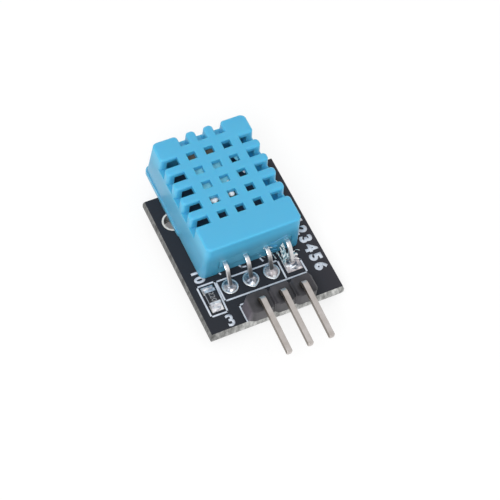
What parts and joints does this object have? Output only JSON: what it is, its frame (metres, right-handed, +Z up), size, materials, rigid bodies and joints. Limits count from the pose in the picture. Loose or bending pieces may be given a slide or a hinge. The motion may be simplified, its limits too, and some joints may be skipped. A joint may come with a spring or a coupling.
{
  "type": "humidity and temperature sensor module",
  "caption": "Small circuit board with a blue louvred humidity and temperature sensor lying on it and a bent pin header at its front edge.",
  "frame": {"origin": "under the middle of the module, at the level of the cut wire ends that it stands on", "axes": "+X to the right along the front edge, +Y from the pins towards the back of the sensor, +Z up out of the board's black face"},
  "size_m": [0.0164, 0.0288, 0.0086],
  "materials": {
    "mask_black": "satin black solder mask on fibreglass",
    "tin": "tinned copper, satin",
    "solder": "bright solder",
    "lead_metal": "tinned flat wire, satin",
    "header_black": "moulded black plastic",
    "pin_metal": "square brass pins, tinned, dull",
    "cover_blue": "moulded blue plastic, satin",
    "plate_blue": "moulded blue plastic, satin",
    "inner_mask": "dark green solder mask",
    "ceramic": "pale ceramic plate",
    "chip_plastic": "black moulded chip",
    "thermistor_coat": "dark ceramic chip",
    "resistor_coat": "black glaze on ceramic"
  },
  "bodies": {
    "root": {"circuit_board": "mask_black", "mounting_ring_left": "tin", "mounting_ring_right": "tin", "lead_joint_1": "solder", "sensor_lead_1": "lead_metal", "lead_joint_2": "solder", "sensor_lead_2": "lead_metal", "lead_joint_3": "solder", "sensor_lead_3": "lead_metal", "lead_joint_4": "solder", "sensor_lead_4": "lead_metal", "pin_joint_1": "solder", "header_pin_1": "pin_metal", "pin_joint_2": "solder", "header_pin_2": "pin_metal", "pin_joint_3": "solder", "header_pin_3": "pin_metal", "header_housing": "header_black", "sensor_cover": "cover_blue", "sensor_back_plate": "plate_blue", "lead_seal": "plate_blue", "inner_board": "inner_mask", "humidity_element": "ceramic", "element_post_1": "solder", "element_post_2": "solder", "control_chip": "chip_plastic", "thermistor": "thermistor_coat", "resistor_body": "resistor_coat", "resistor_cap_1": "solder", "resistor_land_1": "tin", "resistor_solder_1": "solder", "resistor_cap_2": "solder", "resistor_land_2": "tin", "resistor_solder_2": "solder"}
  },
  "joints": []
}
